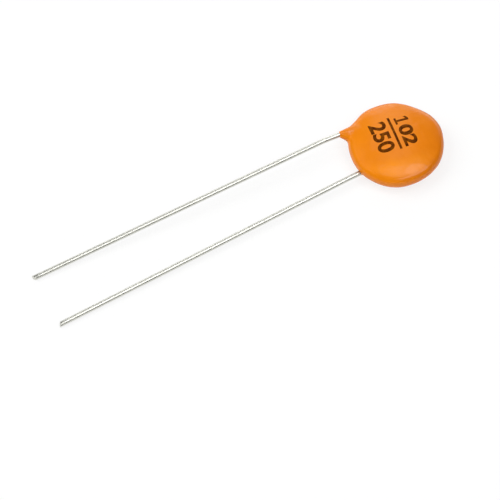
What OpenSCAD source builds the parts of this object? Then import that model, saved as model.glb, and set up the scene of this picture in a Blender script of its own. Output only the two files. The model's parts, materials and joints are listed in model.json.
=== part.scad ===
// Ceramic disc capacitor with two long wire leads.
// A fired ceramic disc has a silver electrode on each face. A tinned lead is soldered across each
// electrode, and a dipped resin coat seals the disc and runs a little way down the leads.
// The part lies on its belly with both free tips on the floor: +Z is up, the leads run along -X.

/* [Ceramic disc] */
// Diameter of the fired ceramic disc
ceramic_d = 8.4; // [7.6:0.1:10]
// Thickness of the fired ceramic disc
ceramic_t = 0.5; // [0.3:0.05:0.9]
// Width of bare ceramic left around each electrode
electrode_margin = 0.4; // [0.2:0.05:0.7]
// Thickness of each fired silver electrode
electrode_t = 0.03; // [0.02:0.01:0.05]

/* [Resin coat] */
// Resin beyond the edge of the ceramic disc
coat_edge = 0.8; // [0.7:0.05:1.1]
// Resin over the leads at the middle of each face
coat_cover = 0.61; // [0.45:0.01:1]
// Radius of the coat's rounded rim
rim_r = 0.9; // [0.8:0.01:1]
// Resin film where the coat runs down a lead
run_film = 0.15; // [0.1:0.01:0.22]
// Resin film where that run ends on the bare lead
lip_film = 0.03; // [0.02:0.01:0.08]
// How far the run on the front lead reaches past the rim
front_reach = 1.05; // [0.5:0.05:2]
// How far inside the rim the run on the back lead ends
back_inset = 0.25; // [0.2:0.01:0.35]
// Angle round the rim, in degrees, where the web on the outer side of the front run lands
outer_web_angle = 108; // [100:1:115]
// Angle round the rim, in degrees, where the web between the leads lands
inner_web_angle = 139; // [130:1:142]

/* [Leads] */
// Diameter of the lead wire
wire_d = 0.55; // [0.45:0.01:0.65]
// Distance between the leads where they leave the coat
pitch = 4.48; // [4:0.01:5]
// Distance of the middle of the lead pair from the disc's centre line
pair_offset = 1.41; // [1:0.01:1.6]
// Length of the front lead from the coat to its free tip
front_len = 35.4; // [15:0.1:45]
// Length of the back lead from the coat to its free tip
back_len = 35.75; // [15:0.1:45]
// Length of a lead across the face of the disc, from its knee to its inner end
seat_len = 4.2; // [3.8:0.1:4.6]
// Distance of each knee outside the ceramic disc's edge
knee_gap = 0.4; // [0.3:0.05:0.5]
// Inside bend radius of each knee, to the wire's centre line
knee_r = 1; // [0.7:0.1:1.2]
// Straight length of a lead between the coat and its outer bend
exit_len = 1.6; // [1:0.1:4]
// Outer bend radius, to the wire's centre line
exit_r = 12; // [4:1:14]

/* [Lead angles in degrees] */
// Outward slant of the front lead as it leaves the coat
front_slant = 5; // [2:0.5:7]
// Outward slant of the front lead beyond its outer bend
front_splay = 2; // [0:0.1:4]
// Outward slant of the back lead beyond its outer bend
back_splay = 0.6; // [0:0.1:4]
// Inward turn of the front lead across the disc, from the leads' direction
front_turn = 40; // [35:1:50]
// Inward turn of the back lead across the disc, from the leads' direction
back_turn = 8; // [5:1:20]

/* [Solder] */
// Solder film between a lead and its electrode
solder_film = 0.04; // [0.03:0.01:0.08]
// Solder over the top of a lead
solder_cover = 0.06; // [0.04:0.01:0.12]
// Radius of the concave flanks of a solder joint
solder_flank_r = 0.7; // [0.5:0.05:0.9]
// Length of a solder joint along its lead
solder_len = 3.2; // [2.6:0.1:3.6]
// Solder past the inner end of a lead
solder_tail = 0.4; // [0.3:0.05:0.5]

/* [Hidden] */
$fn = 64;

resin = [0.91, 0.52, 0.13];
fired_ceramic = [0.80, 0.74, 0.64];
silver = [0.82, 0.81, 0.78];
tin = [0.75, 0.76, 0.77];
solder_grey = [0.62, 0.63, 0.65];

wire_r = wire_d / 2;
lead_z = ceramic_t / 2 + electrode_t + solder_film + wire_r; // from the disc's middle plane
body_r = ceramic_d / 2 + coat_edge;
half_t = lead_z + wire_r + coat_cover;
electrode_r = ceramic_d / 2 - electrode_margin;

// Surfaces that would only touch are set to cross by this little instead, so that they join cleanly.
overlap = 0.005;
// Length by which a straight piece of wire reaches into the bend next to it
lap = 0.04;
// Turn of a bar about its own length, which keeps its seam away from the seam of the bend next to it
seam_turn = 30;

// The two domes of the coat, and the place where each meets the round of the rim
round_r = rim_r - overlap;
dome_r = ((body_r - rim_r) ^ 2 + half_t ^ 2 - round_r ^ 2) / (2 * (half_t - round_r));
dome_edge = (body_r - rim_r) * dome_r / (dome_r - round_r);

function unit(v) = v / norm(v);
function heading(angle) = [cos(angle), sin(angle), 0];
// Distance from p along the direction d to the circle of radius r about the disc's axis
function to_circle(p, d, r) = -(p * d) - sqrt((p * d) ^ 2 - p * p + r ^ 2);

// Plan of each lead about the disc's axis: the end of the coat, the knee, and the inner end
front_exit = let (y = pair_offset + pitch / 2) [-sqrt((body_r + front_reach) ^ 2 - y ^ 2), y, 0];
front_knee = let (d = heading(-front_slant))
    front_exit + d * to_circle(front_exit, d, ceramic_d / 2 + knee_gap);
front_end = front_knee + heading(-front_turn) * seat_len;
back_exit = let (y = pair_offset - pitch / 2) [-sqrt((body_r - back_inset) ^ 2 - y ^ 2), y, 0];
back_knee = let (y = back_exit[1]) [-sqrt((ceramic_d / 2 + knee_gap) ^ 2 - y ^ 2), y, 0];
back_end = back_knee + heading(back_turn) * seat_len;

// The outer bend, and the free tip that slopes down from it until the wire touches the floor
function outer_bend(exit, slant, z) = exit - heading(-slant) * exit_len + [0, 0, z];
function tip(bend, splay, length) = let (drop = bend[2] + half_t - wire_r)
    bend - heading(-splay) * sqrt(length ^ 2 - drop ^ 2) - [0, 0, drop];
front_bend = outer_bend(front_exit, front_slant, lead_z);
front_tip = tip(front_bend, front_splay, front_len - exit_len);
back_bend = outer_bend(back_exit, 0, -lead_z);
back_tip = tip(back_bend, -back_splay, back_len - exit_len);

up = [0, 0, lead_z];
front_path = [front_end + up, front_knee + up, front_bend, front_tip];
back_path = [back_end - up, back_knee - up, back_bend, back_tip];

// The middle of the part's outline is put over the origin
disc_centre = [(-min(front_tip[0], back_tip[0]) - body_r) / 2,
               -(max(body_r, front_tip[1] + wire_r) - body_r) / 2, half_t];

// Places children with their own X and Y axes along x and y at the point o
module at_frame(o, x, y) {
    z = cross(x, y);
    multmatrix([[x[0], y[0], z[0], o[0]], [x[1], y[1], z[1], o[1]], [x[2], y[2], z[2], o[2]],
                [0, 0, 0, 1]]) children();
}

// A round bar from a to b, with the radius r_a at a and r_b at b
module bar(a, b, r_a, r_b) {
    along = unit(b - a);
    side = unit(cross(along, [0, 0, 1]));
    at_frame(a, side, cross(along, side)) rotate(seam_turn) cylinder(h = norm(b - a), r1 = r_a, r2 = r_b);
}

function turn_at(p, i) = acos(unit(p[i] - p[i - 1]) * unit(p[i + 1] - p[i]));
// How far before and after the corner i its round bend begins and ends
function setback(p, i, r) = i == 0 || i == len(p) - 1 ? 0 : r[i - 1] * tan(turn_at(p, i) / 2) - lap;

// The round bend at the corner i of the path p
module bend(p, i, bend_r, r) {
    u = unit(p[i] - p[i - 1]);
    v = unit(p[i + 1] - p[i]);
    turn = turn_at(p, i);
    centre = p[i] + unit(v - u) * bend_r / cos(turn / 2);
    x = unit(p[i] - u * bend_r * tan(turn / 2) - centre);
    at_frame(centre, x, u) rotate_extrude(angle = turn) translate([bend_r, 0]) circle(r = r);
}

// A wire of radius r along the path p, with the bend radii bends at its inner corners
module bent_wire(p, bends, r) {
    for (i = [1:len(p) - 1]) {
        along = unit(p[i] - p[i - 1]);
        bar(p[i - 1] + along * setback(p, i - 1, bends), p[i] - along * setback(p, i, bends), r, r);
    }
    for (i = [1:len(p) - 2]) bend(p, i, bends[i - 1], r + overlap);
}

// The lens-shaped body of the coat: two domes and the rounded rim
module lens() {
    rotate_extrude() {
        intersection() {
            translate([0, half_t - dome_r]) circle(r = dome_r, $fn = 4 * $fn);
            translate([0, dome_r - half_t]) circle(r = dome_r, $fn = 4 * $fn);
            translate([0, -half_t]) square([dome_edge, 2 * half_t]);
        }
        translate([body_r - rim_r, 0]) circle(r = rim_r);
    }
}

// A web of resin from the point p on the wire to the round of the rim, at this angle round it
module web(p, angle) {
    bar(p, heading(angle) * (body_r - rim_r), wire_r, rim_r - 6 * overlap);
}

// The coat's run down the front lead: a sleeve, a tapering end, and webs that join them to the rim
module front_run() {
    run_r = wire_r + run_film;
    outward = unit(front_exit - front_knee);
    shoulder = front_exit + up - outward * front_reach;
    bent_wire([(front_knee + front_end) / 2 + up, front_knee + up, shoulder], [knee_r], run_r);
    bar(shoulder - outward * lap, front_exit + up, run_r - overlap, wire_r + lip_film);
    web(shoulder, outer_web_angle);
    web(shoulder, (outer_web_angle + inner_web_angle) / 2);
    web(front_exit + up - outward * lip_film, inner_web_angle);
}

// The coat's run on the back lead: a sleeve that ends just inside the rim
module back_run() {
    run_r = wire_r + run_film;
    bar((back_knee + back_end) / 2 - up, back_knee - up, run_r, run_r);
    bar(back_knee - up, back_exit - up, run_r - overlap, wire_r + lip_film);
}

// A joint of solder over the lead: concave flanks, and ends that round down to the electrode
module solder_joint(knee, end) {
    inward = unit(end - knee);
    seat = electrode_t + ceramic_t / 2;
    axis_z = lead_z - seat;
    cap_r = wire_r + solder_cover;
    flank_y = sqrt((cap_r + solder_flank_r - overlap) ^ 2 - (solder_flank_r + overlap - axis_z) ^ 2);
    middle = end + inward * (solder_tail - solder_len / 2) + [0, 0, seat];
    at_frame(middle, inward, cross([0, 0, 1], inward)) intersection() {
        rotate([90, 0, 90]) linear_extrude(solder_len, center = true) {
            translate([0, axis_z]) circle(r = cap_r);
            difference() {
                translate([-flank_y, 0]) square([2 * flank_y, axis_z]);
                for (side = [-1, 1])
                    translate([side * flank_y, solder_flank_r + 4 * overlap]) circle(r = solder_flank_r);
            }
        }
        sphere(d = solder_len);
        translate([-solder_len, -solder_len, 0]) cube([2 * solder_len, 2 * solder_len, solder_len]);
    }
}

module ceramic_shape() {
    cylinder(h = ceramic_t, d = ceramic_d, center = true);
}

module electrode_shape() {
    translate([0, 0, ceramic_t / 2]) cylinder(h = electrode_t, r = electrode_r);
}

module front_joint() solder_joint(front_knee, front_end);

module back_joint() mirror([0, 0, 1]) solder_joint(back_knee, back_end);

module front_wire() bent_wire(front_path, [knee_r, exit_r], wire_r);

module back_wire() bent_wire(back_path, [knee_r, exit_r], wire_r);

module resin_coat() {
    color(resin) translate(disc_centre) difference() {
        union() {
            lens();
            front_run();
            back_run();
        }
        ceramic_shape();
        electrode_shape();
        mirror([0, 0, 1]) electrode_shape();
        front_joint();
        back_joint();
        front_wire();
        back_wire();
    }
}

module ceramic_disc() {
    color(fired_ceramic) translate(disc_centre) ceramic_shape();
}

module front_electrode() {
    color(silver) translate(disc_centre) electrode_shape();
}

module back_electrode() {
    color(silver) translate(disc_centre) mirror([0, 0, 1]) electrode_shape();
}

module front_solder() {
    color(solder_grey) translate(disc_centre) difference() {
        front_joint();
        front_wire();
    }
}

module back_solder() {
    color(solder_grey) translate(disc_centre) difference() {
        back_joint();
        back_wire();
    }
}

module front_lead() {
    color(tin) translate(disc_centre) front_wire();
}

module back_lead() {
    color(tin) translate(disc_centre) back_wire();
}

resin_coat();
ceramic_disc();
front_electrode();
back_electrode();
front_solder();
back_solder();
front_lead();
back_lead();
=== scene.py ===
# %% [markdown]
# # A ceramic disc capacitor
# The real part is a fired ceramic disc, silvered on both faces, with a tinned wire soldered across
# each face. The whole disc is dipped in orange resin, which also creeps a little way down the wires.
# The imported model holds every piece at its true size and place. This lesson gives the part its
# finished surfaces: it is the resin skin, the wires and the printed value that a person sees.
# The frame is loaded first.

# %% Load the frame
import json
from math import cos, pi, radians, sin, sqrt, tan

import bpy
from mathutils import Matrix, Vector


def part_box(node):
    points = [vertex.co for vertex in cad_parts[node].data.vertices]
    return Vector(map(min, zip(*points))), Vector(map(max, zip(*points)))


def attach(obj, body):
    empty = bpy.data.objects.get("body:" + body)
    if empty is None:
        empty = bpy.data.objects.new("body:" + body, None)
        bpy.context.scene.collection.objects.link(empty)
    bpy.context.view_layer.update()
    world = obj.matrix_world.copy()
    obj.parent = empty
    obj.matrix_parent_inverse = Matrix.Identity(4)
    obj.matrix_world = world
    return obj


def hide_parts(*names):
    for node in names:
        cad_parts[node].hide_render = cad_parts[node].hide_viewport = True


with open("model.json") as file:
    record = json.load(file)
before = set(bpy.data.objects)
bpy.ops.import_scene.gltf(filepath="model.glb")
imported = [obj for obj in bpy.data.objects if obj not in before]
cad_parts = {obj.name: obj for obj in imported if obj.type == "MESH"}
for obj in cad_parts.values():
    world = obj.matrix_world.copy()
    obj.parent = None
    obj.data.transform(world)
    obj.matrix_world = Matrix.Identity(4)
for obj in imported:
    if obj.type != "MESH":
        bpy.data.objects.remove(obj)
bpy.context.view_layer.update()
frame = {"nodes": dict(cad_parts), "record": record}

MM = 0.001

# %% [markdown]
# ## Camera
# The part is seen from well above, from the side of the free wire ends, by a long lens that hardly
# lets near things grow. A camera could be turned by hand until the view fits. Here its place is
# worked out from two angles and a distance, so that it always looks straight at its aim.

# %% Camera
CAMERA_AZIMUTH = -29.5  # degrees
CAMERA_ELEVATION = 59.03
CAMERA_DISTANCE = 0.5
CAMERA_LENS = 351.4  # millimetres, on a sensor 36 mm wide
CAMERA_AIM = Vector((-1.74, -3.765, 1.5)) * MM


def towards(azimuth, elevation):
    """The direction from the part to something seen at these angles."""
    flat = cos(radians(elevation))
    return Vector((sin(radians(azimuth)) * flat, -cos(radians(azimuth)) * flat, sin(radians(elevation))))


def heading(degrees):
    """The level direction that is this many degrees round from +X."""
    return Vector((cos(radians(degrees)), sin(radians(degrees)), 0))


to_camera = towards(CAMERA_AZIMUTH, CAMERA_ELEVATION)
bpy.ops.object.camera_add(location=CAMERA_AIM + to_camera * CAMERA_DISTANCE,
                          rotation=to_camera.to_track_quat("Z", "Y").to_euler())
camera = bpy.context.object
camera.data.lens = CAMERA_LENS
camera.data.clip_start = CAMERA_DISTANCE / 50
camera.data.clip_end = CAMERA_DISTANCE * 50
bpy.context.scene.camera = camera
bpy.context.scene.view_settings.view_transform = "Standard"
print("camera at", [round(c, 3) for c in camera.location])

# %% [markdown]
# ## Materials as sums
# A finish is a recipe: patterns such as noise are scaled, added and mixed into a colour, a roughness
# and a small relief. Nodes can be wired one by one, but a recipe reads better as arithmetic. The
# class below wraps one output of a node. Adding or multiplying it adds the Math node that does so,
# and its node method adds any other kind of node.


# %% One output of a node, with arithmetic
class Tone:
    """An output of a node. Arithmetic on it adds Math nodes, and node() adds any other node."""

    def __init__(self, tree, socket=None):
        self.tree, self.socket = tree, socket

    def node(self, kind, settings=None, sockets=None, output=0):
        """Adds a node, sets it up, fills or links its sockets, and gives back one output."""
        made = self.tree.nodes.new(kind)
        for name, value in (settings or {}).items():
            setattr(made, name, value)
        for name, value in (sockets or {}).items():
            if isinstance(value, Tone):
                self.tree.links.new(value.socket, made.inputs[name])
            else:
                made.inputs[name].default_value = value
        return Tone(self.tree, made.outputs[output])

    def math(self, operation, first, second=0.0):
        return self.node("ShaderNodeMath", {"operation": operation}, {0: first, 1: second})

    def __add__(self, other):
        return self.math("ADD", self, other)

    def __sub__(self, other):
        return self.math("SUBTRACT", self, other)

    def __rsub__(self, other):
        return self.math("SUBTRACT", other, self)

    def __mul__(self, other):
        return self.math("MULTIPLY", self, other)

    __radd__ = __add__
    __rmul__ = __mul__

    def step(self, low, high):
        """0 below low, 1 above high, and a smooth rise between them."""
        settings = {"interpolation_type": "SMOOTHSTEP"}
        sockets = {"Value": self, "From Min": low, "From Max": high}
        return self.node("ShaderNodeMapRange", settings, sockets)

    def mix(self, low, high):
        """The colour low where this is 0, and high where it is 1."""
        sockets = {"Factor": self, 6: low, 7: high}
        return self.node("ShaderNodeMix", {"data_type": "RGBA"}, sockets, 2)

    def along(self, direction):
        """How far this place lies in a direction."""
        settings = {"operation": "DOT_PRODUCT"}
        return self.node("ShaderNodeVectorMath", settings, {0: self, 1: direction}, "Value")

    def noise(self, size, detail=2.0):
        """Noise from 0 to 1 at this place, in patches about size across."""
        sockets = {"Vector": self, "Scale": 1 / size, "Detail": detail}
        return self.node("ShaderNodeTexNoise", {}, sockets)

    def bump(self, depth):
        """The surface with this as its relief, from 0 to depth."""
        return self.node("ShaderNodeBump", {}, {"Height": self, "Distance": depth, "Strength": 1.0})


def new_finish(name, **constants):
    """A material with its shader's constants set, and the Tone of a place on the object."""
    material = bpy.data.materials.new(name)
    material.use_nodes = True
    shader = material.node_tree.nodes["Principled BSDF"]
    for socket, value in constants.items():
        shader.inputs[socket.replace("_", " ")].default_value = value
    place = Tone(material.node_tree).node("ShaderNodeTexCoord", output="Object")
    return material, place


def feed(material, **tones):
    """Links tones to the shader's sockets."""
    shader = material.node_tree.nodes["Principled BSDF"]
    for socket, tone in tones.items():
        material.node_tree.links.new(tone.socket, shader.inputs[socket.replace("_", " ")])


def dress(piece, material):
    """Gives a piece this one material."""
    piece.data.materials.clear()
    piece.data.materials.append(material)
    print(piece.name, "wears", material.name, "of", len(material.node_tree.nodes), "nodes")


print("Tone knows:", [name for name in dir(Tone) if not name.startswith("__")])

# %% [markdown]
# ## Floor
# The part lies on a plain white table with a low white edge. The table could be made white by more
# light, but that would bleach the part. Instead the floor shows itself white to the camera, to
# reflections and through glass only, and keeps the soft shadow that falls on it. The edge is low on
# purpose: the round wires mirror the dim room above it as a thin dark line along their sides.

# %% Floor
FLOOR_R = 1.5
FLOOR_SIDES = 96
EDGE_HEIGHT = 0.05
LIT_SHARE = 0.2  # the part of the floor's white that comes from the lamps, and so takes shadow
FLOOR_PALE = (0.85, 0.85, 0.85, 1)
FLOOR_LIT = (LIT_SHARE, LIT_SHARE, LIT_SHARE, 1)
BLACK = (0, 0, 0, 1)
WHITE = (1, 1, 1, 1)


def put_down():
    """Leaves edit mode and selects nothing."""
    if bpy.context.object and bpy.context.object.mode != "OBJECT":
        bpy.ops.object.mode_set(mode="OBJECT")
    bpy.ops.object.select_all(action="DESELECT")


put_down()
bpy.ops.mesh.primitive_circle_add(vertices=FLOOR_SIDES, radius=FLOOR_R, fill_type="NGON")
floor = bpy.context.object
floor.name = "floor"
bpy.ops.object.mode_set(mode="EDIT")
bpy.ops.mesh.select_mode(type="EDGE")
bpy.ops.mesh.select_all(action="SELECT")
bpy.ops.mesh.region_to_loop()
bpy.ops.mesh.extrude_region_move(TRANSFORM_OT_translate={"value": (0, 0, EDGE_HEIGHT)})
put_down()

floor_finish, place = new_finish("floor", Roughness=1.0, Specular_IOR_Level=0.0,
                                 Emission_Strength=1 - LIT_SHARE)
to_eye, to_gloss, to_glass = (place.node("ShaderNodeLightPath", output=f"Is {ray} Ray")
                              for ray in ("Camera", "Glossy", "Transmission"))
seen = place.math("MAXIMUM", place.math("MAXIMUM", to_eye, to_gloss), to_glass)
feed(floor_finish, Base_Color=seen.mix(FLOOR_PALE, FLOOR_LIT), Emission_Color=seen.mix(BLACK, WHITE))
dress(floor, floor_finish)

# %% [markdown]
# ## Lamps
# A lamp is seen twice on a glossy thing: as light, and as its own image. One big lamp would light
# the part evenly, but would leave the wires without their lines. So each lamp here has one task.
# The top lamp and the smaller spot lamp are mirrored in the near shoulder of the coat, as a broad
# sheen that brightens to one side. The window lamp and the back lamp stand behind, and whiten the
# far side of the wires. The front lamp lights what faces the camera. The line lamp and the rim lamp
# are seen in reflections only: the first pales the dark line on the far side of the wires, and the
# second the far rim of the coat. The soft lamp and the low lamp fill the shadows, and reflections
# don't show them.

# %% Lamps and sky
SKY_LEVEL = 0.06
LAMP_DISTANCE = 0.9
SHEEN_SIDE = heading(-27)


def add_lamp(name, azimuth, elevation, width, height, level, side=None):
    """A soft lamp seen at these angles, of this size in metres, whose face is level times white.

    Its width lies along side, or level where no side is given.
    """
    side = side or heading(azimuth)
    out = towards(azimuth, elevation)
    across = (side - out * side.dot(out)).normalized()
    bpy.ops.object.light_add(type="AREA", location=out * LAMP_DISTANCE)
    lamp = bpy.context.object
    lamp.name = name
    lamp.rotation_euler = Matrix((across, out.cross(across), out)).transposed().to_euler()
    lamp.data.shape = "RECTANGLE"
    lamp.data.size, lamp.data.size_y = width, height
    lamp.data.energy = level * pi * width * height
    return lamp


add_lamp("top_lamp", 73, 84, 0.5, 0.16, 2.9, SHEEN_SIDE)
add_lamp("spot_lamp", 71, 72, 0.16, 0.14, 5.5, SHEEN_SIDE)
add_lamp("window_lamp", 150, 50, 0.35, 0.8, 1.0)
add_lamp("back_lamp", 145, 12, 0.7, 0.25, 1.8)
add_lamp("front_lamp", 25, 57, 0.7, 0.4, 3.2)
line_lamp = add_lamp("line_lamp", 165, 18, 0.5, 0.3, 1.7)
rim_lamp = add_lamp("rim_lamp", 118, 14, 0.5, 0.35, 2.4)
soft_lamp = add_lamp("soft_lamp", 236, 48, 0.8, 0.7, 3.5)
low_lamp = add_lamp("low_lamp", -20, 10, 0.8, 0.2, 2.3)
for mirrored in (line_lamp, rim_lamp):
    mirrored.visible_diffuse = False
for fill in (soft_lamp, low_lamp):
    fill.visible_glossy = False

world = bpy.data.worlds.new("studio")
bpy.context.scene.world = world
world.use_nodes = True
sky = world.node_tree.nodes["Background"]
sky.inputs["Color"].default_value = WHITE
sky.inputs["Strength"].default_value = SKY_LEVEL

# %% [markdown]
# ## Sizes
# Most sizes come from the frame: the disc's centre, the coat's radius and thickness, and the wire's
# radius. The course of each wire inside the coat can't be read from a box, so its few sizes are
# given here again, measured from the centre of the disc.

# %% Sizes
disc_low, disc_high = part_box("ceramic_disc")
coat_low, coat_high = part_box("resin_coat")
CENTRE = (disc_low + disc_high) / 2
DISC_R = (disc_high.y - disc_low.y) / 2
BODY_R = coat_high.x - CENTRE.x
HALF_T = (coat_high.z - coat_low.z) / 2
pins = {mount["name"]: mount for mount in frame["record"]["mounts"]}
WIRE_R = pins["front_lead_pin"]["dims"]["r_mm"] * MM

RIM_R = 0.9 * MM
RUN_FILM = 0.15 * MM  # resin on the wire where the coat runs down it
LIP_FILM = 0.03 * MM  # and where that run ends
FRONT_REACH = 1.05 * MM  # from the rim out to where the front wire leaves the coat
BACK_INSET = 0.25 * MM  # and from the rim in to where the back wire does
PITCH = 4.48 * MM  # between the wires where they leave the coat
PAIR_OFFSET = 1.41 * MM  # from the disc's axis to the middle of the pair
LEAD_Z = 0.595 * MM  # how far a wire's middle lies above or below the disc's
KNEE_GAP = 0.4 * MM  # from the disc's edge out to a knee
KNEE_R = 1 * MM
SEAT_LEN = 4.2 * MM  # from a knee to the inner end
EXIT_LEN = 1.6 * MM  # from the coat to the outer bend
EXIT_R = 12 * MM
FRONT_LEN = 35.4 * MM  # from the coat to the free tip
BACK_LEN = 35.75 * MM

# The ways that a wire runs as it leaves the coat, on its long straight and over the disc, in degrees.
FRONT_SLANT, FRONT_SPLAY, FRONT_TURN = -5, -2, -40
BACK_SLANT, BACK_SPLAY, BACK_TURN = 0, 0.6, 8


def on_circle(y, radius):
    """The point of a circle round the disc's axis that lies at y, on the side of the wires."""
    return Vector((-sqrt(radius ** 2 - y ** 2), y, 0))


def reach(place, along, radius):
    """How far it is from a place, in the direction along, to that circle."""
    across = place.dot(along)
    return -across - sqrt(across ** 2 - place.length_squared + radius ** 2)


def lead_course(mouth, knee, slant, splay, turn, length):
    """The corners of a wire: its free tip, its outer bend, its knee and its inner end."""
    bend = mouth - heading(slant) * EXIT_LEN
    drop = bend.z - WIRE_R
    run = sqrt((length - EXIT_LEN) ** 2 - drop ** 2)
    tip = bend - heading(splay) * run - Vector((0, 0, drop))
    return tip, bend, knee, knee + heading(turn) * SEAT_LEN


front_level = CENTRE + Vector((0, 0, LEAD_Z))
back_level = CENTRE - Vector((0, 0, LEAD_Z))
front_exit = on_circle(PAIR_OFFSET + PITCH / 2, BODY_R + FRONT_REACH)
to_knee = heading(FRONT_SLANT) * reach(front_exit, heading(FRONT_SLANT), DISC_R + KNEE_GAP)
front_mouth = front_level + front_exit
front_knee = front_mouth + to_knee
back_mouth = back_level + on_circle(PAIR_OFFSET - PITCH / 2, BODY_R - BACK_INSET)
back_knee = back_level + on_circle(PAIR_OFFSET - PITCH / 2, DISC_R + KNEE_GAP)
front_course = lead_course(front_mouth, front_knee, FRONT_SLANT, FRONT_SPLAY, FRONT_TURN, FRONT_LEN)
back_course = lead_course(back_mouth, back_knee, BACK_SLANT, BACK_SPLAY, BACK_TURN, BACK_LEN)
for course in (front_course, back_course):
    print("a free tip at", [round(c / MM, 3) for c in course[0]], "mm")

# %% [markdown]
# ## Working by hand
# Every new piece starts with nothing selected and ends as a mesh whose object sits at the origin.
# Points could be picked by their numbers, but those change with every edit. Here a piece is opened
# with a test on the place of its points, and those that pass are selected.


# %% Starting and picking
SAME_PLACE = 1e-7  # metres: points nearer than this are one, and cuts don't snap to points


def pick_up(piece):
    """Makes a piece the only one that is selected."""
    put_down()
    piece.select_set(True)
    bpy.context.view_layer.objects.active = piece
    return piece


def fix_place(piece, name):
    """Names a piece and moves its place into its mesh."""
    pick_up(piece)
    piece.name = piece.data.name = name
    bpy.ops.object.transform_apply(location=True, rotation=True, scale=True)
    return piece


def edit(piece, test=None):
    """Opens a piece in edit mode with all its points selected, or those whose place passes a test."""
    pick_up(piece)
    bpy.ops.object.mode_set(mode="EDIT")
    bpy.ops.mesh.select_mode(type="VERT")
    bpy.ops.mesh.select_all(action="SELECT" if test is None else "DESELECT")
    if test is not None:
        bpy.ops.object.mode_set(mode="OBJECT")
        for point in piece.data.vertices:
            point.select = test(point.co)
        bpy.ops.object.mode_set(mode="EDIT")


def apply_modifier(piece, kind, **settings):
    """Adds one modifier, sets it up and applies it."""
    pick_up(piece)
    modifier = piece.modifiers.new(kind.title(), kind)
    for name, value in settings.items():
        setattr(modifier, name, value)
    bpy.ops.object.modifier_apply(modifier=modifier.name)


def measure(piece):
    print(piece.name, [round(side / MM, 2) for side in piece.dimensions], "mm,",
          len(piece.data.polygons), "faces")


print("hand tools ready")

# %% [markdown]
# ## Wires
# A lead is a piece of tinned wire, bent on a machine and cut with nippers that leave a slanted end.
# It could be a curve with a thickness, but then its end would be flat. Here one circle is drawn at
# the free tip, extruded along each straight and spun round each bend, and the tip is then cut off on
# the slant. Spin turns against the right-hand rule, so its angle is given with a minus.

# %% Draw a wire
WIRE_SIDES = 32
STRAIGHT_STEP = 1 * MM
BEND_STEP = radians(4)
CUT_SLANT = radians(24)
CUT_EDGE = 0.03 * MM
CUT_EDGE_STEPS = 3
FRONT_CUT_TURN = radians(200)
BACK_CUT_TURN = radians(-30)


def draw_wire(name, course, cut_turn):
    """A wire along the corners of a course, bent round each inner one, with a slanted cut end."""
    along = (course[1] - course[0]).normalized()
    put_down()
    bpy.ops.mesh.primitive_circle_add(vertices=WIRE_SIDES, radius=WIRE_R, fill_type="NGON",
                                      location=course[0],
                                      rotation=along.to_track_quat("Z", "Y").to_euler())
    wire = fix_place(bpy.context.object, name)
    edit(wire)
    at = course[0]
    for corner, after, bend_r in zip(course[1:], course[2:], (EXIT_R, KNEE_R)):
        onward = (after - corner).normalized()
        turn = along.angle(onward)
        at = push_wire(at, corner - along * bend_r * tan(turn / 2))
        axis = along.cross(onward).normalized()
        centre = at + axis.cross(along) * bend_r
        bpy.ops.mesh.spin(steps=round(turn / BEND_STEP) + 1, angle=-turn, center=centre, axis=axis)
        at = centre + onward.cross(axis) * bend_r
        along = onward
    push_wire(at, course[-1])
    cut_end(wire, course, cut_turn)
    return wire


def push_wire(start, end):
    """Extrudes the open end of the wire along one straight."""
    steps = max(1, round((end - start).length / STRAIGHT_STEP))
    for _ in range(steps):
        bpy.ops.mesh.extrude_region_move(TRANSFORM_OT_translate={"value": (end - start) / steps})
    return end


def cut_end(wire, course, cut_turn):
    """Cuts the free tip on the slant and rounds the edge of the cut a little."""
    along = (course[1] - course[0]).normalized()
    side = along.cross(Vector((0, 0, 1))).normalized()
    lean = side * cos(cut_turn) + side.cross(along) * sin(cut_turn)
    normal = along * cos(CUT_SLANT) + lean * sin(CUT_SLANT)
    place = course[0] + along * (WIRE_R * tan(CUT_SLANT) + CUT_EDGE)
    edit(wire)
    bpy.ops.mesh.bisect(plane_co=place, plane_no=normal, use_fill=True, clear_inner=True,
                        threshold=SAME_PLACE)
    bpy.ops.mesh.bevel(offset=CUT_EDGE, segments=CUT_EDGE_STEPS, affect="EDGES")
    put_down()


front_wire = draw_wire("front_wire", front_course, FRONT_CUT_TURN)
back_wire = draw_wire("back_wire", back_course, BACK_CUT_TURN)
measure(front_wire)
measure(back_wire)

# %% [markdown]
# ## The body of the coat
# Dipped resin settles into a lens: nearly flat over the middle, rounder towards the shoulder, and
# tight round the rim. A squashed sphere would be too sharp at its edge. So the section is drawn as
# three arcs that meet smoothly. One point is spun round the centre of each arc in turn, and the
# finished section is spun round the axis of the disc.

# %% Spin the lens
DOME_TURN = radians(8)
SHOULDER_TURN = radians(12)
DOME_STEPS = 20
SHOULDER_STEPS = 16
RIM_STEPS = 48
LENS_STEPS = 256


def arc_radii():
    """The radii of dome and shoulder with which the three arcs end just at the rim."""
    first, both = DOME_TURN, DOME_TURN + SHOULDER_TURN
    wide = BODY_R - RIM_R * (1 - sin(both))
    deep = HALF_T - RIM_R * cos(both)
    a, b = sin(first), sin(both) - sin(first)
    c, d = 1 - cos(first), cos(first) - cos(both)
    spread = a * d - b * c
    return (wide * d - deep * b) / spread, (deep * a - wide * c) / spread


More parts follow.
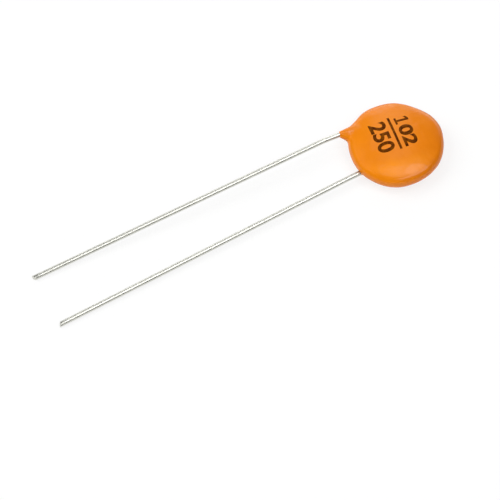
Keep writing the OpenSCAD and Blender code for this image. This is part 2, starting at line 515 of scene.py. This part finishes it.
def spin_lens(name):
    """The coat's body as a closed mesh."""
    put_down()
    bpy.ops.mesh.primitive_plane_add(size=MM)
    lens = fix_place(bpy.context.object, name)
    edit(lens)
    bpy.ops.mesh.merge(type="CENTER")
    at, normal, angle = Vector((0, 0, HALF_T)), Vector((0, 0, 1)), 0
    bpy.ops.transform.translate(value=at)
    dome_r, shoulder_r = arc_radii()
    dome = (DOME_TURN, dome_r, DOME_STEPS)
    shoulder = (SHOULDER_TURN, shoulder_r, SHOULDER_STEPS)
    rim = (pi - 2 * (DOME_TURN + SHOULDER_TURN), RIM_R, RIM_STEPS)
    for turn, radius, steps in (dome, shoulder, rim, shoulder, dome):
        centre = at - normal * radius
        bpy.ops.mesh.spin(steps=steps, angle=-turn, center=centre, axis=(0, 1, 0))
        angle += turn
        normal = Vector((sin(angle), 0, cos(angle)))
        at = centre + normal * radius
    bpy.ops.mesh.select_all(action="SELECT")
    bpy.ops.mesh.spin(steps=LENS_STEPS, angle=2 * pi, center=(0, 0, 0), axis=(0, 0, 1))
    bpy.ops.mesh.select_all(action="SELECT")
    bpy.ops.mesh.remove_doubles(threshold=SAME_PLACE)
    bpy.ops.mesh.normals_make_consistent(inside=False)
    bpy.ops.transform.translate(value=CENTRE)
    put_down()
    return lens


lens = spin_lens("lens")
measure(lens)

# %% [markdown]
# ## The run down the wire
# Where a wire leaves the dip, surface tension draws the resin out along it into a pointed web. A
# smooth web is hard to push out of a lens by hand. Cones are laid along the wire and from the wire
# to the rim instead, as a skeleton for it. The back wire leaves nearer the rim, and needs only a
# sleeve.

# %% Cones along the wires
CONE_SIDES = 48
WEB_ANGLES = (108, 123.5, 139)  # degrees round the rim from +X
WEB_FOOT_R = 0.873 * MM
FRONT_SHORT = 0.12 * MM  # how much sooner the skin ends on the front wire than its solid
BACK_FULL = 0.6 * MM  # how far inside the knee the resin on the back wire starts to thin out
BACK_TAPER = 0.12 * MM  # and how far past the solid coat it ends


def add_cone(start, end, start_r, end_r):
    """A closed cone between two places, with its own radius at each."""
    along = end - start
    put_down()
    bpy.ops.mesh.primitive_cone_add(vertices=CONE_SIDES, radius1=start_r, radius2=end_r,
                                    depth=along.length, location=(start + end) / 2,
                                    rotation=along.to_track_quat("Z", "Y").to_euler())
    return fix_place(bpy.context.object, "cone")


outward = (front_mouth - front_knee).normalized()
front_shoulder = front_mouth - outward * FRONT_REACH
front_lip = front_mouth - outward * FRONT_SHORT
front_inside = (front_knee + front_course[-1]) / 2
back_inside = (back_knee + back_course[-1]) / 2
back_full = back_knee + heading(BACK_SLANT) * BACK_FULL
back_lip = back_mouth - heading(BACK_SLANT) * BACK_TAPER
thick, thin = WIRE_R + RUN_FILM, WIRE_R + LIP_FILM
cones = [
    add_cone(front_inside, front_knee, thick, thick),
    add_cone(front_knee, front_shoulder, thick, thick),
    add_cone(front_shoulder, front_lip, thick, thin),
    add_cone(back_inside, back_full, thick, thick),
    add_cone(back_full, back_lip, thick, thin),
]
web_roots = (front_shoulder, front_shoulder, front_lip - outward * LIP_FILM)
for root, angle in zip(web_roots, WEB_ANGLES):
    cones.append(add_cone(root, CENTRE + heading(angle) * (BODY_R - RIM_R), WIRE_R, WEB_FOOT_R))
print(len(cones), "cones")

# %% [markdown]
# ## One skin
# Wet resin has no seams: it rounds every hollow where it meets a wire. Bevels could soften the
# seams between lens and cones, but not melt them away. A voxel remesh makes one skin of them all.
# Smoothing then rounds the web on the front wire and the small collar on the back wire, and the rest
# is drawn back onto the lens. Last, faint waves sink into the lens, because a dipped coat is never
# quite true.

# %% Melt lens and cones together
VOXEL = 0.07 * MM


def ramp(value, low, high):
    """0 below low, 1 above high, and a straight rise between them."""
    return min(1.0, max(0.0, (value - low) / (high - low)))


def weigh(piece, name, weight_at):
    """A vertex group whose weight at each point is worked out from the point's place."""
    group = piece.vertex_groups.new(name=name)
    for point in piece.data.vertices:
        group.add([point.index], weight_at(point.co), "REPLACE")


def smooth(piece, times, group=""):
    """Moves each point halfway to its neighbours, so many times, as far as its weight lets it."""
    apply_modifier(piece, "SMOOTH", factor=0.5, iterations=times, vertex_group=group)


pick_up(lens)
bpy.ops.object.duplicate()
skin = bpy.context.object
for cone in cones:
    cone.select_set(True)
bpy.ops.object.join()
skin.name = skin.data.name = "coat_skin"
apply_modifier(skin, "REMESH", mode="VOXEL", voxel_size=VOXEL)
measure(skin)

# %% Where the web, the collar and the dome are
WEB_ZONE = 3.6 * MM  # how far the web reaches from where the front wire leaves the coat
TIP_KEEP = 0.3 * MM  # nearer than this to that place nothing is smoothed
TIP_FADE = 1.1 * MM  # and farther than this everything is
COLLAR_ZONE = 0.7 * MM  # how far the collar reaches from the middle of the back wire
ZONE_FADE = 0.8 * MM  # over which a zone gives way to the next


def web_weight(place):
    """Full over the web, and fading towards its tip and into the dome."""
    away = (place - front_mouth).length
    return ramp(away, TIP_KEEP, TIP_FADE) * ramp(-away, -WEB_ZONE, ZONE_FADE - WEB_ZONE)


def from_collar(place):
    """How far a place is from the part of the back wire that raises the coat."""
    along = back_lip - back_inside
    share = ramp((place - back_inside).dot(along), 0, along.length_squared)
    return (place - back_inside - along * share).length


def collar_weight(place):
    """Full over the back wire, but for the lip itself."""
    near = ramp(-from_collar(place), -COLLAR_ZONE - ZONE_FADE, -COLLAR_ZONE)
    return near * ramp((place - back_lip).length, WIRE_R, TIP_FADE)


def dome_weight(place):
    """Full over the lens, and none where resin runs down a wire."""
    from_web = (place - front_mouth).length - WEB_ZONE
    return ramp(min(from_web, from_collar(place) - COLLAR_ZONE), 0, ZONE_FADE)


weigh(skin, "web", web_weight)
weigh(skin, "collar", collar_weight)
weigh(skin, "dome", dome_weight)
print("groups:", [group.name for group in skin.vertex_groups])

# %% Round the hollows and add faint waves
WEB_ROUNDS = 100
COLLAR_ROUNDS = 24
SEAM_ROUNDS = 3
LENS_ROUNDS = 2  # to soften where the skin has been drawn back onto the lens
WAVE_LENGTH = 1.6 * MM
WAVE_DEPTH = 0.07 * MM
WAVE_CREST = 0.74  # the height of the waves, from 0 to 1, that stays level with the lens

smooth(skin, WEB_ROUNDS, "web")
smooth(skin, COLLAR_ROUNDS, "collar")
smooth(skin, SEAM_ROUNDS)
apply_modifier(skin, "SHRINKWRAP", target=lens, wrap_method="NEAREST_SURFACEPOINT", vertex_group="dome")
smooth(skin, LENS_ROUNDS)
waves = bpy.data.textures.new("waves", "CLOUDS")
waves.noise_scale = WAVE_LENGTH
apply_modifier(skin, "DISPLACE", texture=waves, texture_coords="LOCAL", strength=WAVE_DEPTH,
               mid_level=WAVE_CREST, vertex_group="dome")
bpy.data.objects.remove(lens)
measure(skin)

# %% [markdown]
# ## Out of round
# Nor is a dipped disc quite round: the resin stands prouder where it gathered. The lens could be spun
# and then squeezed to an oval, but the real outline has no such order. So a patch of the rim is pulled
# out or pushed in at five places, by a hair, and proportional editing lets the skin around it follow.

# %% Pull the rim out of round
PULL_PATCH = 0.4 * MM
PULL_REACH = 2.2 * MM
RIM_PULLS = (  # degrees round the rim from +X, and how far out
    (0, 0.14 * MM),
    (40, -0.1 * MM),
    (104, 0.08 * MM),
    (175, -0.06 * MM),
    (-124, 0.1 * MM),
)

for angle, pull in RIM_PULLS:
    patch = CENTRE + heading(angle) * BODY_R
    edit(skin, lambda at: (at - patch).length < PULL_PATCH)
    bpy.ops.transform.translate(value=heading(angle) * pull, use_proportional_edit=True,
                                proportional_edit_falloff="SMOOTH", proportional_size=PULL_REACH)
pick_up(skin)
bpy.ops.object.shade_smooth()
measure(skin)

# %% [markdown]
# ## The printed value
# The value is stamped on the dome in dark ink: three figures on a line, and three more below it. It
# could be painted into the resin's colour, but ink has a thickness and an edge of its own. The text
# is made a mesh, cut into a fine grid so that it can bend, pressed onto the dome and thickened. The
# figure 1 of this stamp has a foot and a short flag, so it is drawn from a bar.

# %% Draw the figures flat
STROKE_GAIN = 0.13 * MM  # how much fatter a stroke prints than it is drawn
FIGURE_HEIGHT = 0.7  # height of a figure in a text of size 1
ONE_MIDDLE = -1.3 * MM
UPPER_WIDTH = 2.6 * MM
UPPER_HEIGHT = 1.5 * MM
UPPER_MIDDLE = 0.65 * MM
UPPER_BASE = 0.52 * MM
LOWER_WIDTH = 3.75 * MM
LOWER_HEIGHT = 1.8 * MM
LOWER_MIDDLE = 0.02 * MM
LOWER_BASE = -2.3 * MM
LINE_LENGTH = 4.06 * MM
LINE_WEIGHT = 0.26 * MM
FOOT_WEIGHT = 0.22 * MM
FOOT_REACH = 0.29 * MM
FLAG_DROP = 0.2 * MM


def flat_text(words, height, width, middle, base):
    """Figures as a flat mesh: their height, the width of the word, its middle and its base line."""
    put_down()
    bpy.ops.object.text_add()
    text = bpy.context.object
    text.data.body = words
    text.data.size = (height - STROKE_GAIN) / FIGURE_HEIGHT
    text.data.offset = STROKE_GAIN / 2
    bpy.ops.object.convert(target="MESH")
    text = bpy.context.object
    left, low = (min(corner[axis] for corner in text.bound_box) for axis in (0, 1))
    text.scale.x = width / text.dimensions.x
    text.location = (middle - width / 2 - left * text.scale.x, base - low, 0)
    return fix_place(text, "figures")


def flat_bar(width, height, middle, base):
    """An upright bar: its width and height, its middle and its base line."""
    put_down()
    bpy.ops.mesh.primitive_plane_add(size=1, location=(middle, base + height / 2, 0))
    bar = bpy.context.object
    bar.scale = (width, height, 1)
    return fix_place(bar, "bar")


def flat_one(height, middle, base):
    """A figure 1: a bar with a foot pulled out on both sides and a flag pulled down to the left."""
    foot, flag = base + FOOT_WEIGHT, base + height - LINE_WEIGHT
    one = flat_bar(LINE_WEIGHT, height, middle, base)
    for level in (foot, flag):
        edit(one)
        bpy.ops.mesh.bisect(plane_co=(0, level, 0), plane_no=(0, 1, 0), threshold=SAME_PLACE)
    pulls = (
        (lambda at: at.x < middle and at.y < foot + SAME_PLACE, (-FOOT_REACH, 0, 0)),
        (lambda at: at.x > middle and at.y < foot + SAME_PLACE, (FOOT_REACH, 0, 0)),
        (lambda at: at.x < middle and at.y > flag - SAME_PLACE, (-FOOT_REACH, -FLAG_DROP, 0)),
    )
    for test, pull in pulls:
        edit(one, test)
        bpy.ops.mesh.extrude_region_move(TRANSFORM_OT_translate={"value": pull})
    put_down()
    return one


rows = [
    flat_text("02", UPPER_HEIGHT, UPPER_WIDTH, UPPER_MIDDLE, UPPER_BASE),
    flat_one(UPPER_HEIGHT, ONE_MIDDLE, UPPER_BASE),
    flat_text("250", LOWER_HEIGHT, LOWER_WIDTH, LOWER_MIDDLE, LOWER_BASE),
    flat_bar(LINE_LENGTH, LINE_WEIGHT, 0, -LINE_WEIGHT / 2),
]
print(len(rows), "flat pieces of print")

# %% Press the print onto the dome
PRINT_TURN = radians(-99.4)
PRINT_PLACE = Vector((0.13, 0.565, 0)) * MM  # the middle of the line, from the disc's centre
PRINT_DROP = 1 * MM  # how far above the dome the print starts out
INK_FILM = 0.02 * MM
GRID = 0.25 * MM
GRID_CUTS = 12  # on each side of the middle

value_print = pick_up(rows[0])
for row in rows[1:]:
    row.select_set(True)
bpy.ops.object.join()
edit(value_print)
bpy.ops.mesh.remove_doubles(threshold=SAME_PLACE)
for across in (Vector((1, 0, 0)), Vector((0, 1, 0))):
    for step in range(-GRID_CUTS, GRID_CUTS + 1):
        bpy.ops.mesh.select_all(action="SELECT")
        bpy.ops.mesh.bisect(plane_co=across * step * GRID, plane_no=across, threshold=SAME_PLACE)
put_down()
value_print.rotation_euler.z = PRINT_TURN
value_print.location = CENTRE + PRINT_PLACE + Vector((0, 0, HALF_T + PRINT_DROP))
fix_place(value_print, "value_print")
apply_modifier(value_print, "SHRINKWRAP", target=skin, wrap_method="PROJECT",
               use_project_z=True, use_negative_direction=True, use_positive_direction=False)
apply_modifier(value_print, "SOLIDIFY", thickness=INK_FILM, offset=0)
measure(value_print)

# %% [markdown]
# ## Orange resin
# The coat is an opaque resin, dipped and baked: a warm orange with a soft gloss. One flat colour
# would look like cast plastic. So the tone drifts in clouds and is speckled with pigment close up.
# Painted shade deepens the colour towards one side, and painted light pales one side of the shoulder,
# under the lamps' sheen. The gloss is broken by the faint ripple that baking leaves.

# %% Orange resin
RESIN_DEEP = (0.78, 0.198, 0.002, 1)
RESIN_PALE = (0.94, 0.284, 0.005, 1)
# painted shade: the resin's colour deepens towards this side
PAINTED_SHADE_SIDE = heading(-38)
PAINTED_SHADE_FADE = (0.5 * MM, BODY_R)  # how far to that side the tone begins to deepen, and is deepest
# painted light: the shoulder pales towards this side, under the lamps' sheen
PAINTED_LIGHT_SIDE = heading(-104)
PAINTED_LIGHT_FADE = (1.8 * MM, 3.3 * MM)  # and how far to this side it begins to pale, and is palest
SHOULDER_START = (2.4 * MM, 3.3 * MM)  # the ring of painted light on the shoulder fades in here, measured from the centre
SHOULDER_END = (4.1 * MM, 4.8 * MM)  # and out again here
CLOUD = 2.2 * MM
PIGMENT_GRAIN = 0.07 * MM
RIPPLE = 0.55 * MM
FINE_RIPPLE = 0.11 * MM
RIPPLE_DEPTH = 0.004 * MM

resin, place = new_finish("orange_resin", Specular_IOR_Level=0.34, IOR=1.5)
from_centre = place.node("ShaderNodeMapping", {}, {"Vector": place, "Location": -CENTRE})
clouds = from_centre.noise(CLOUD, 3)
pigment = from_centre.noise(PIGMENT_GRAIN)
# painted shade, deepening the colour towards one side
painted_shade = from_centre.along(PAINTED_SHADE_SIDE).step(*PAINTED_SHADE_FADE)
away = place.node("ShaderNodeVectorMath", {"operation": "LENGTH"}, {0: from_centre}, "Value")
# painted light: a ring on the shoulder, paled towards one side, where the lamps' sheen lies
shoulder = away.step(*SHOULDER_START) * (1 - away.step(*SHOULDER_END))
painted_light = shoulder * from_centre.along(PAINTED_LIGHT_SIDE).step(*PAINTED_LIGHT_FADE)
# the tone mixes random clouds and pigment with the painted shade and the painted light
tone = clouds * 0.8 + pigment * 0.35 - painted_shade * 0.52 + painted_light * 0.5 - 0.16
ripple = from_centre.noise(RIPPLE, 1) + from_centre.noise(FINE_RIPPLE) * 0.15
feed(resin, Base_Color=tone.mix(RESIN_DEEP, RESIN_PALE), Roughness=clouds * 0.08 + pigment * 0.05 + 0.17,
     Normal=ripple.bump(RIPPLE_DEPTH))
dress(skin, resin)

# %% [markdown]
# ## Marking ink
# The stamp leaves a dull, dark brown ink that covers unevenly: full where the stamp pressed, thin
# and browner between. Black would be too hard on the orange. Two browns are mixed by blotches a
# little wider than a stroke, with a fine grain in them. The same noise makes the thin ink rougher.

# %% Marking ink
INK_FULL = (0.070, 0.015, 0.0005, 1)
INK_THIN = (0.220, 0.060, 0.001, 1)
INK_BLOTCH = 0.5 * MM
INK_GRAIN = 0.06 * MM
THIN_START, THIN_END = 0.38, 0.64  # heights of the noise between which the ink thins out

ink, place = new_finish("marking_ink", Specular_IOR_Level=0.03)
blotches = place.noise(INK_BLOTCH) * 0.5 + place.noise(INK_GRAIN) * 0.5
thin_ink = blotches.step(THIN_START, THIN_END)
feed(ink, Base_Color=thin_ink.mix(INK_FULL, INK_THIN), Roughness=thin_ink * 0.15 + 0.5)
dress(value_print, ink)

# %% [markdown]
# ## Tinned wire
# Tin dulls soon after it is drawn: it mirrors the lamps as soft bands and not as sharp lines. A
# smooth mirror would look like chrome. Long fine lines from the drawing die run along the wire, and
# the tin is a little duller in patches.

# %% Tinned wire
TIN_DULL = (0.62, 0.62, 0.57, 1)
TIN_BRIGHT = (0.73, 0.73, 0.67, 1)
LINE_STRETCH = Vector((1 / 12, 1 / 0.06, 1 / 0.06)) / MM  # 12 mm long, and 0.06 mm apart
LINE_DEPTH = 0.0004 * MM
DULL_PATCH = 1.6 * MM
CREASE = radians(50)

tin, place = new_finish("drawn_tin", Metallic=1.0)
lines = place.node("ShaderNodeMapping", {}, {"Vector": place, "Scale": LINE_STRETCH}).noise(1)
dull = place.noise(DULL_PATCH, 3)
feed(tin, Base_Color=(dull * 0.7 + lines * 0.3).mix(TIN_DULL, TIN_BRIGHT), Roughness=dull * 0.06 + 0.32,
     Normal=lines.bump(LINE_DEPTH))
for wire in (front_wire, back_wire):
    dress(wire, tin)
    pick_up(wire)
    bpy.ops.object.shade_smooth_by_angle(angle=CREASE)

# %% [markdown]
# ## The hidden pieces
# The ceramic disc, its silver and the solder are sealed in the coat, and show only when someone
# takes the part to pieces. Their shapes are kept as they are. Each gets a plain finish of its own: a
# grain between two tones, which also makes the paler spots rougher.


# %% The hidden pieces
def grained(name, grain, dark, pale, roughness, metallic):
    """A finish whose colour and roughness drift with a grain of this size."""
    finish, place = new_finish(name, Metallic=metallic)
    drift = place.noise(grain, 3)
    feed(finish, Base_Color=drift.mix(dark, pale), Roughness=drift * 0.15 + roughness)
    return finish


ceramic = grained("fired_ceramic", 0.12 * MM, (0.48, 0.41, 0.31, 1), (0.64, 0.57, 0.45, 1), 0.65, 0.0)
silver = grained("fired_silver", 0.2 * MM, (0.70, 0.69, 0.66, 1), (0.84, 0.83, 0.80, 1), 0.45, 1.0)
solder = grained("tin_solder", 0.3 * MM, (0.48, 0.49, 0.51, 1), (0.62, 0.63, 0.65, 1), 0.3, 1.0)
hidden = {"ceramic_disc": ceramic, "front_electrode": silver, "back_electrode": silver,
          "front_solder": solder, "back_solder": solder}
for node_name, finish in hidden.items():
    dress(frame["nodes"][node_name], finish)

# %% [markdown]
# ## Put together
# The part has one body, and everything rides on it. The skin and the wires stand for their plainer
# solids, which stay for the collisions, hidden. The print is new and stands for nothing.

# %% Put together
stand_ins = ((skin, "resin_coat", "resin"), (front_wire, "front_lead", "tinned_wire"),
             (back_wire, "back_lead", "tinned_wire"))
for piece, node_name, slot in stand_ins:
    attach(piece, "root")
    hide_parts(node_name)
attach(value_print, "root")
